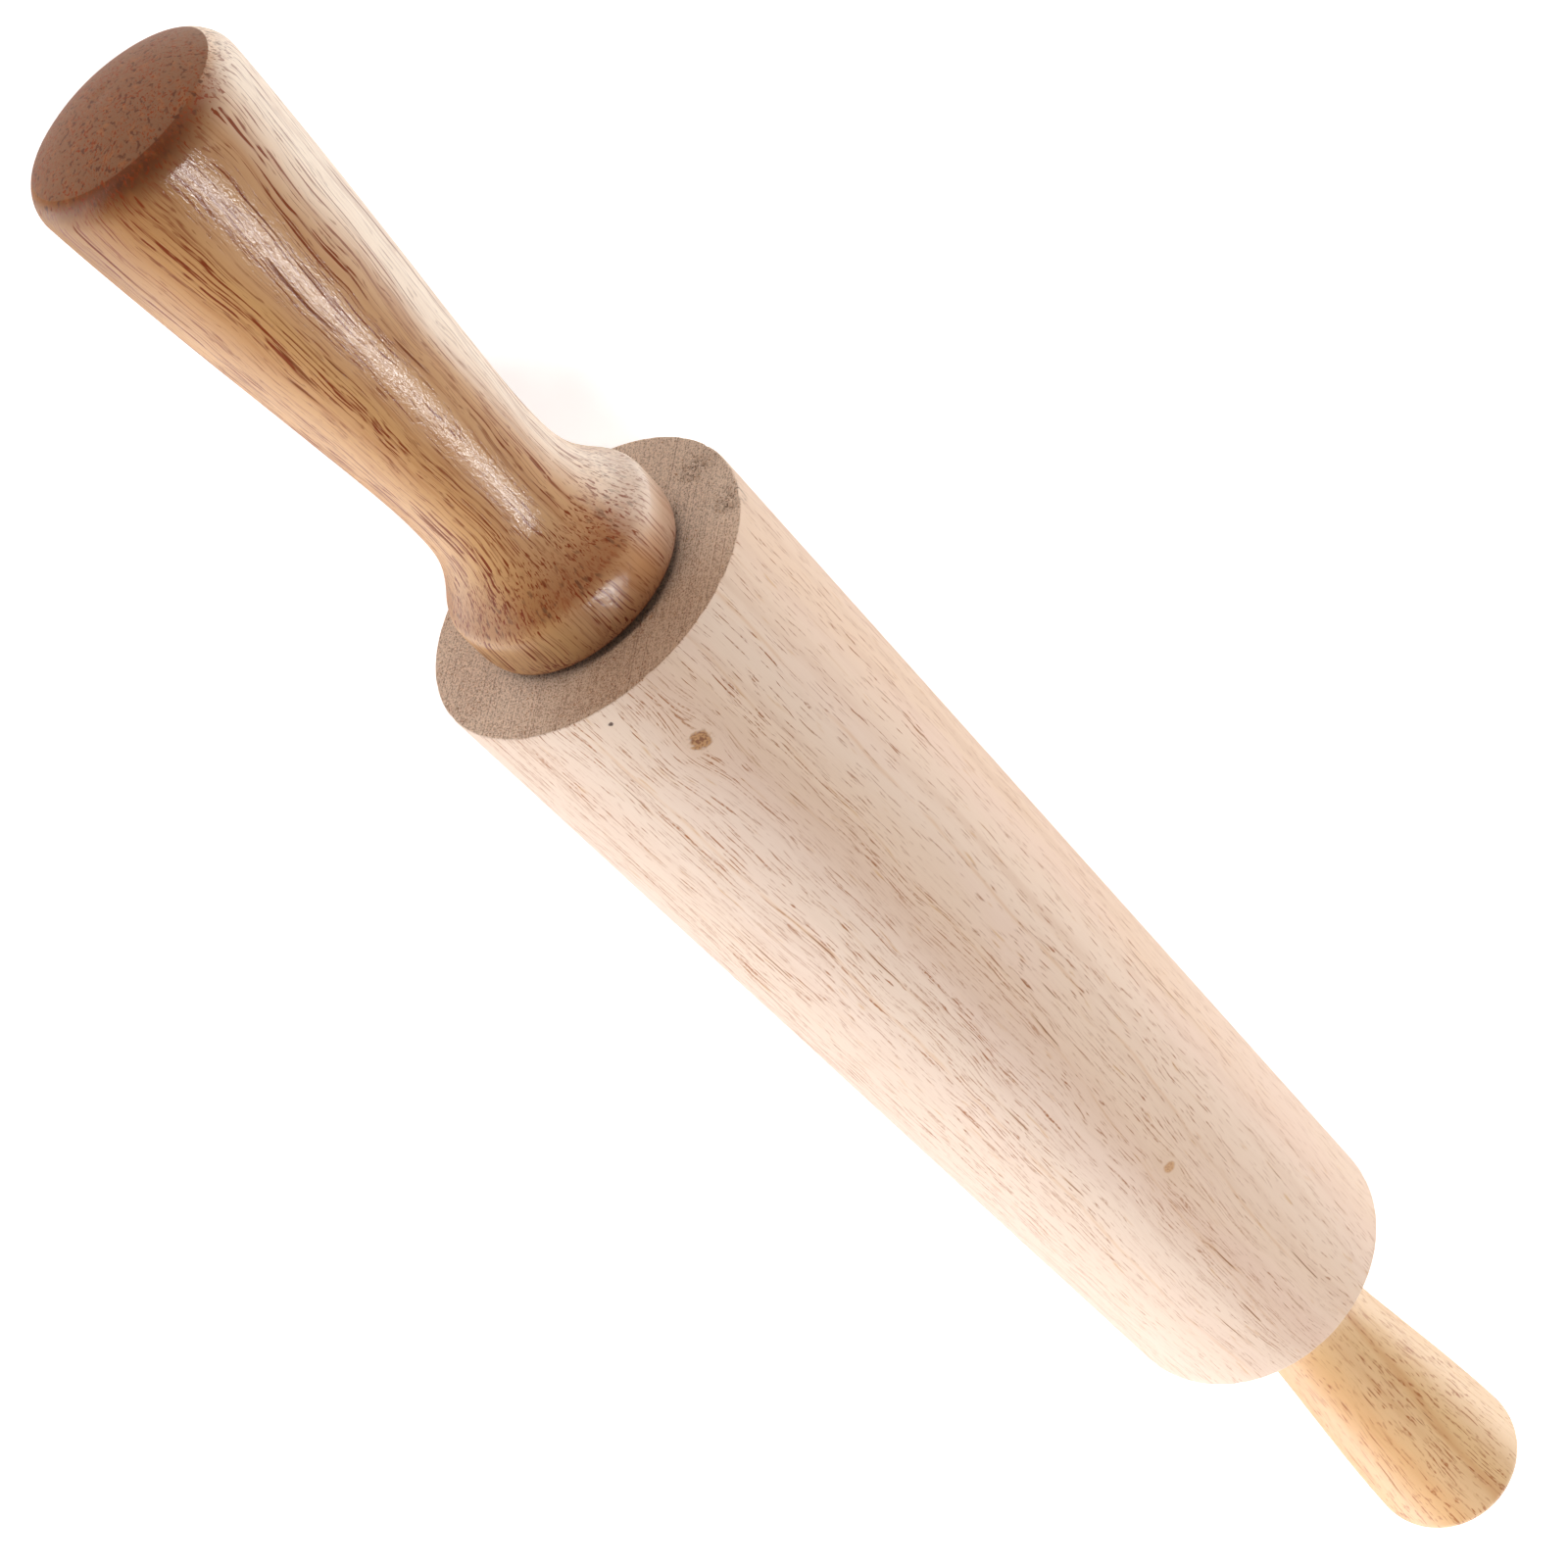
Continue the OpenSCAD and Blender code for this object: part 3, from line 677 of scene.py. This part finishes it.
metalFinishes = {
    "axle_steel": {
        "tone": tone(196, 198, 202), "dull": tone(172, 173, 177),
        "marks": 0.12, "smudge": 6.0, "bump": 0.4, "roughness": (0.22, 0.36),
    },
    "bearing_steel": {
        "tone": tone(206, 208, 212), "dull": tone(186, 188, 192),
        "marks": 0.08, "smudge": 4.0, "bump": 0.25, "roughness": (0.14, 0.26),
    },
    "ball_steel": {
        "tone": tone(226, 228, 232), "dull": tone(212, 214, 218),
        "marks": 0.5, "smudge": 1.5, "bump": 0.05, "roughness": (0.04, 0.09),
    },
    "cage_steel": {
        "tone": tone(184, 178, 166), "dull": tone(160, 152, 140),
        "marks": 0.3, "smudge": 1.0, "bump": 0.3, "roughness": (0.3, 0.45),
    },
    "shield_steel": {
        "tone": tone(204, 205, 208), "dull": tone(186, 187, 190),
        "marks": 0.1, "smudge": 3.0, "bump": 0.3, "roughness": (0.24, 0.38),
    },
    "washer_steel": {
        "tone": tone(198, 202, 208), "dull": tone(176, 182, 192),
        "marks": 0.2, "smudge": 2.0, "bump": 0.3, "roughness": (0.28, 0.42),
    },
    "insert_brass": {
        "tone": tone(214, 176, 102), "dull": tone(186, 144, 78),
        "marks": 0.15, "smudge": 3.0, "bump": 0.4, "roughness": (0.22, 0.38),
    },
}

finishes = {slot: metal(slot, finish) for slot, finish in metalFinishes.items()}
finishes["barrel_wood"] = rawWood("barrel_wood", barrelWood)
leftLacquer = lacqueredWood("left_handle_wood", leftHandleWood)
rightLacquer = lacqueredWood("right_handle_wood", rightHandleWood)

# The solids that no finer mesh replaces take their metal in the slots that they already have
for part in frame["record"]["subparts"]:
    if part["material_slot"] in metalFinishes:
        for holder in frame["nodes"][part["node"]].material_slots:
            holder.material = finishes[part["material_slot"]]
print("materials made:", len(bpy.data.materials))


# Turned pieces: an outline of [distance along the axis, radius] in millimetres, spun about X

weldDistance = 0.002


def spunPiece(outline, turnSteps, closed):
    shape = bmesh.new()
    corners = [shape.verts.new((x * mm, 0.0, r * mm)) for x, r in outline]
    ends = list(zip(corners, corners[1:] + corners[:1] if closed else corners[1:]))
    edges = [shape.edges.new(pair) for pair in ends]
    bmesh.ops.spin(
        shape, geom=corners + edges, cent=(0, 0, 0), axis=(1, 0, 0), dvec=(0, 0, 0),
        angle=fullTurn, steps=turnSteps, use_merge=True, use_duplicate=False,
    )
    bmesh.ops.remove_doubles(shape, verts=shape.verts, dist=weldDistance * mm)
    bmesh.ops.recalc_face_normals(shape, faces=shape.faces)
    return shape


def finishPiece(shape, name, material, body, nodes, sharpAt=35.0):
    for edge in shape.edges:
        edge.smooth = len(edge.link_faces) != 2 or edge.calc_face_angle() < math.radians(sharpAt)
    for face in shape.faces:
        face.smooth = True
    mesh = bpy.data.meshes.new(name)
    shape.to_mesh(mesh)
    shape.free()
    piece = bpy.data.objects.new(name, mesh)
    bpy.context.scene.collection.objects.link(piece)
    mesh.materials.append(material)
    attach(piece, body)
    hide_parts(*nodes)
    print(name, "faces:", len(mesh.polygons))


def stepsBetween(first, last, count):
    return [
        (first[0] + (last[0] - first[0]) * i / count, first[1] + (last[1] - first[1]) * i / count)
        for i in range(1, count + 1)
    ]


def arcPoints(mid, radius, start, stop, count):
    turns = [math.radians(start + (stop - start) * i / count) for i in range(count + 1)]
    return [(mid[0] + radius * math.cos(a), mid[1] + radius * math.sin(a)) for a in turns]


# A curve that leaves a along da and comes to b along db
def curvePoints(a, da, db, b, count):
    points = []
    for i in range(count + 1):
        t = i / count
        u = 1 - t
        points.append(tuple(
            u ** 3 * a[k] + 3 * u * u * t * (a[k] + da[k]) + 3 * u * t * t * (b[k] - db[k]) + t ** 3 * b[k]
            for k in (0, 1)
        ))
    return points


barrel = {
    "turnSteps": 384, "faceRings": 64, "lengthRings": 60,
    "bore": 6.5, "seat": 11.0, "seatDepth": 7.5,
    "edge": 0.4, "edgeSteps": 3, "margin": 0.01, "seatRim": 0.2,
    "sawnDepth": 0.05, "sawnAcross": 1.6, "sawnAlong": 0.12, "sawnSeed": 7.0,
    "tornDepth": 1.1, "tornRows": (0.8, 1.3), "tornSeed": 3.0, "tornBias": 0.25,
    "chipDepth": 0.22, "chipWave": 9.0, "chipSeed": 4.0, "chipFrom": 0.12,
    "tornFractal": (0.6, 2.2, 4), "chipFractal": (0.7, 2.1, 4),
    "tornSpots": [
        {"y": 27.0, "z": -2.5, "reach": 4.5, "end": -1},
        {"y": 27.2, "z": 11.5, "reach": 4.0, "end": -1},
    ],
}


def barrelOutline(low, high):
    half = (high.x - low.x) / 2 / mm
    radius = (high.z - low.z) / 2 / mm
    seat, edge = barrel["seat"], barrel["edge"]
    floor = half - barrel["seatDepth"]
    face = [(floor, barrel["bore"]), (floor, seat), (half, seat)]
    face += stepsBetween((half, seat), (half, radius - edge), barrel["faceRings"])
    face += arcPoints((half - edge, radius - edge), edge, 0, 90, barrel["edgeSteps"])[1:]
    mirrored = [(-x, r) for x, r in reversed(face)]
    body = stepsBetween(face[-1], mirrored[0], barrel["lengthRings"])
    return face + body + mirrored[1:], half, radius


# How deep the saw and the torn fibres leave a place on the end face
def sawnDepth(y, z, end):
    across, along = (y + z) * barrel["sawnAcross"], (y - z) * barrel["sawnAlong"]
    uneven = noise.noise(Vector((end * barrel["sawnSeed"], across, along)))
    depth = barrel["sawnDepth"] * (0.5 + 0.5 * uneven)
    for spot in barrel["tornSpots"]:
        if spot["end"] == end:
            away = math.hypot(y - spot["y"], z - spot["z"]) / spot["reach"]
            rowY, rowZ = barrel["tornRows"]
            rows = Vector((y * rowY, z * rowZ, barrel["tornSeed"]))
            ragged = noise.fractal(rows, *barrel["tornFractal"])
            depth += barrel["tornDepth"] * max(0.0, 1 - away * away) * max(0.0, ragged + barrel["tornBias"])
    return depth


def chipDepth(y, z, end):
    angle = math.atan2(z, y)
    wave = barrel["chipWave"]
    place = Vector((math.cos(angle) * wave, math.sin(angle) * wave, end * barrel["chipSeed"]))
    chip = noise.fractal(place, *barrel["chipFractal"])
    return barrel["chipDepth"] * max(0.0, chip - barrel["chipFrom"])


def makeBarrel():
    low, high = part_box("barrel")
    outline, half, radius = barrelOutline(low, high)
    shape = spunPiece(outline, barrel["turnSteps"], True)
    edge, margin = barrel["edge"], barrel["margin"]
    for vert in shape.verts:
        x, y, z = (part / mm for part in vert.co)
        r = math.hypot(y, z)
        end = -1 if x < 0 else 1
        if abs(x) > half - margin and r > barrel["seat"] + barrel["seatRim"]:
            vert.co.x -= end * sawnDepth(y, z, end) * mm
        elif abs(x) > half - edge - margin and r > radius - edge - margin:
            chip = chipDepth(y, z, end)
            vert.co.y *= 1 - chip / r
            vert.co.z *= 1 - chip / r
    finishPiece(shape, "barrel_turned", finishes["barrel_wood"], "barrel", ["barrel"])


handle = {
    "turnSteps": 224,
    "collarEdge": (4.0, 1.45), "collarRadius": 20.75, "collarLength": 10.2,
    "shoulderRadius": 5.0, "flareAngle": 35.5,
    "neckRadius": 13.7, "neckAt": 32.0,
    "gripRadius": 19.15, "gripAngle": 2.3,
    "cornerRadius": 5.5, "domeRadius": 40.0,
    "flareShares": (0.48, 0.46), "gripShares": (0.15, 0.38),
    "steps": {"edge": 10, "band": 6, "shoulder": 8, "flare": 30, "grip": 60, "corner": 16, "dome": 26},
    "boreRadius": 6.0, "flangeRadius": 8.0, "flangeDepth": 1.5, "boreDepth": 24.0,
    "sandedDepth": 0.09, "sandedWaves": (17.0, 9.0), "margin": 0.5, "endLength": 3.0,
    "centreMark": {"radius": 2.2, "depth": 0.18},
}


def handleOutline(length):
    h = handle
    steps = h["steps"]
    edgeLength, edgeHeight = h["collarEdge"]
    points = []
    for i in range(steps["edge"] + 1):
        a = math.pi / 2 * i / steps["edge"]
        points.append((edgeLength * (1 - math.cos(a)), h["collarRadius"] - edgeHeight * (1 - math.sin(a))))
    flare = math.radians(h["flareAngle"])
    grip = math.radians(h["gripAngle"])
    run = h["shoulderRadius"] * math.tan(flare / 2)
    shoulder = arcPoints(
        (h["collarLength"] - run, h["collarRadius"] - h["shoulderRadius"]),
        h["shoulderRadius"], 90, 90 - h["flareAngle"], steps["shoulder"],
    )
    points += stepsBetween(points[-1], shoulder[0], steps["band"])
    points += shoulder[1:]
    flareStart = shoulder[-1]
    neck = (h["neckAt"], h["neckRadius"])
    flareLength = neck[0] - flareStart[0]
    near, far = (share * flareLength for share in h["flareShares"])
    points += curvePoints(
        flareStart, (near * math.cos(flare), -near * math.sin(flare)), (far, 0.0), neck, steps["flare"],
    )[1:]
    cornerR = h["gripRadius"] - h["cornerRadius"]
    domeMid = length - h["domeRadius"]
    cornerX = domeMid + math.sqrt((h["domeRadius"] - h["cornerRadius"]) ** 2 - cornerR ** 2)
    meet = math.degrees(math.atan2(cornerR, cornerX - domeMid))
    corner = arcPoints((cornerX, cornerR), h["cornerRadius"], 90 + h["gripAngle"], meet, steps["corner"])
    gripLength = corner[0][0] - neck[0]
    near, far = (share * gripLength for share in h["gripShares"])
    points += curvePoints(
        neck, (near, 0.0), (far * math.cos(grip), far * math.sin(grip)), corner[0], steps["grip"],
    )[1:]
    points += corner[1:]
    points += arcPoints((domeMid, 0.0), h["domeRadius"], meet, 0, steps["dome"])[1:]
    bore = [
        (h["boreDepth"] + h["boreRadius"] / 2, 0.0), (h["boreDepth"], h["boreRadius"]),
        (h["flangeDepth"], h["boreRadius"]), (h["flangeDepth"], h["flangeRadius"]), (0.0, h["flangeRadius"]),
    ]
    return bore + points


# The outline runs outwards from the collar, on either side of the barrel
def makeHandle(side, name, node, material, seed):
    low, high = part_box(node)
    length = (high.x - low.x) / mm
    face = (low.x if side > 0 else -high.x) / mm
    outline = [(side * (face + x), max(r, 0.0)) for x, r in handleOutline(length)]
    shape = spunPiece(outline, handle["turnSteps"], False)
    waveX, waveY = handle["sandedWaves"]
    endStart = length - handle["endLength"]
    mark = handle["centreMark"]
    for vert in shape.verts:
        x, y, z = (part / mm for part in vert.co)
        r = math.hypot(y, z)
        along = side * x - face
        if r > handle["flangeRadius"] + handle["margin"] and handle["margin"] < along < endStart:
            uneven = 0.5 + 0.5 * noise.noise(Vector((x / waveX + seed, y / waveY, z / waveY)))
            dent = handle["sandedDepth"] * uneven
            vert.co.y *= 1 - dent / r
            vert.co.z *= 1 - dent / r
        if along > endStart and r < mark["radius"]:
            vert.co.x -= side * mark["depth"] * (1 - (r / mark["radius"]) ** 2) * mm
    finishPiece(shape, name, material, "handles_and_axle", [node])


makeBarrel()
makeHandle(-1, "left_handle_turned", "left_handle", leftLacquer, 3.0)
makeHandle(1, "right_handle_turned", "right_handle", rightLacquer, 11.0)


# Stage, lights and camera

# Size and focal length in the photograph's pixels, place in millimetres, turn in degrees
photo = {
    "size": 1600, "focal": 2988.7, "sensor": 36.0, "nearest": 0.01,
    "place": (-404.6, 16.05, 416.1), "turn": (-31.631, -24.66, 53.242),
}


def makeCamera():
    data = bpy.data.cameras.new("photo_camera")
    data.sensor_width = photo["sensor"]
    data.lens = photo["sensor"] * photo["focal"] / photo["size"]
    data.clip_start = photo["nearest"]
    camera = bpy.data.objects.new("photo_camera", data)
    camera.location = Vector(photo["place"]) * mm
    camera.rotation_euler = [math.radians(angle) for angle in photo["turn"]]
    bpy.context.scene.collection.objects.link(camera)
    bpy.context.scene.camera = camera


stage = {
    "radius": 4.0, "steps": 96, "tone": tone(240, 240, 240), "fleckTone": tone(246, 246, 246),
    "fleck": 0.004, "fleckLevel": (0.3, 0.7), "lift": 0.6, "liftFrom": 0.6, "liftTo": 1.5,
}


def seenRays(tree):
    rays = put(tree, "LightPath").outputs
    seen = calc(tree, "ADD", rays["Is Camera Ray"], rays["Is Glossy Ray"])
    return calc(tree, "ADD", seen, rays["Is Transmission Ray"], clamp=True)


# Seen by the camera, the paper glows to white with distance, and near the pin it still takes shadow
def makeFloor():
    material, tree = newTree("floor_paper")
    place = put(tree, "TexCoord").outputs["Object"]
    fleck = span(tree, cloud(tree, place, (stage["fleck"],) * 3, 3.0), *stage["fleckLevel"])
    colour = blendTones(tree, fleck, stage["tone"], stage["fleckTone"])
    paper = put(tree, "BsdfDiffuse", {"Color": colour})
    away = vectorCalc(tree, "LENGTH", place, out="Value")
    lift = span(tree, away, stage["liftFrom"], stage["liftTo"], stage["lift"], 1.0)
    lift = calc(tree, "MULTIPLY", seenRays(tree), lift)
    glow = put(tree, "Emission", {"Color": (1.0, 1.0, 1.0, 1.0), "Strength": lift})
    both = put(tree, "AddShader", {0: paper.outputs[0], 1: glow.outputs[0]})
    put(tree, "OutputMaterial", {"Surface": both.outputs[0]})
    shape = bmesh.new()
    bmesh.ops.create_circle(shape, cap_ends=True, radius=stage["radius"], segments=stage["steps"])
    bmesh.ops.translate(shape, verts=shape.verts, vec=(0, 0, cadLow.z))
    mesh = bpy.data.meshes.new("floor")
    shape.to_mesh(mesh)
    shape.free()
    floor = bpy.data.objects.new("floor", mesh)
    mesh.materials.append(material)
    bpy.context.scene.collection.objects.link(floor)


# The fill panels light the wood without showing in the lacquer, as the photograph has one highlight
def softBox(name, place, size, watts, mirrored):
    data = bpy.data.lights.new(name, "AREA")
    data.shape = "RECTANGLE"
    data.size, data.size_y = size
    data.energy = watts
    lamp = bpy.data.objects.new(name, data)
    lamp.location = place
    lamp.rotation_euler = (-Vector(place)).to_track_quat("-Z", "Y").to_euler()
    lamp.visible_glossy = mirrored
    bpy.context.scene.collection.objects.link(lamp)


# Places and sizes in metres. The lacquer mirrors a sky that darkens upwards over the horizon's span
studio = {
    "ambient": 0.06, "zenith": 0.12, "horizon": (0.02, 0.4),
    "boxes": {
        "overhead_box": {
            "place": (0.36, 0.2, 0.95), "size": (0.16, 0.62),
            "watts": 4.9, "mirrored": True,
        },
        "left_panel": {
            "place": (0.75, -0.85, 0.36), "size": (0.6, 0.6),
            "watts": 12.5, "mirrored": False,
        },
        "side_panel": {
            "place": (-0.35, -0.9, 0.2), "size": (0.5, 0.4),
            "watts": 1.9, "mirrored": False,
        },
        "right_panel": {
            "place": (0.05, 0.8, 0.16), "size": (1.1, 0.32),
            "watts": 4.3, "mirrored": False,
        },
        "back_panel": {
            "place": (1.0, 0.0, 0.35), "size": (0.6, 0.5),
            "watts": 1.0, "mirrored": False,
        },
        "front_panel": {
            "place": (-1.0, -0.12, 0.1), "size": (1.3, 0.2),
            "watts": 5.3, "mirrored": False,
        },
    },
}


def makeStudio():
    world = bpy.data.worlds.new("studio")
    bpy.context.scene.world = world
    world.use_nodes = True
    tree = world.node_tree
    tree.nodes.clear()
    upward = put(tree, "SeparateXYZ", {0: put(tree, "TexCoord").outputs["Generated"]}).outputs[2]
    sweep = span(tree, upward, *studio["horizon"], 1.0, studio["zenith"])
    rays = put(tree, "LightPath").outputs
    choice = {0: rays["Is Glossy Ray"], 2: studio["ambient"], 3: sweep}
    mirrored = put(tree, "Mix", choice, data_type="FLOAT").outputs[0]
    seen = calc(tree, "ADD", rays["Is Camera Ray"], rays["Is Transmission Ray"], clamp=True)
    strength = calc(tree, "MAXIMUM", mirrored, seen)
    sky = put(tree, "Background", {"Color": (1.0, 1.0, 1.0, 1.0), "Strength": strength})
    put(tree, "OutputWorld", {"Surface": sky.outputs[0]})
    for name, box in studio["boxes"].items():
        softBox(name, **box)


makeFloor()
makeStudio()
makeCamera()
bpy.context.scene.view_settings.view_transform = "Standard"
print("floor, sky and camera made, lamps:", len(studio["boxes"]))
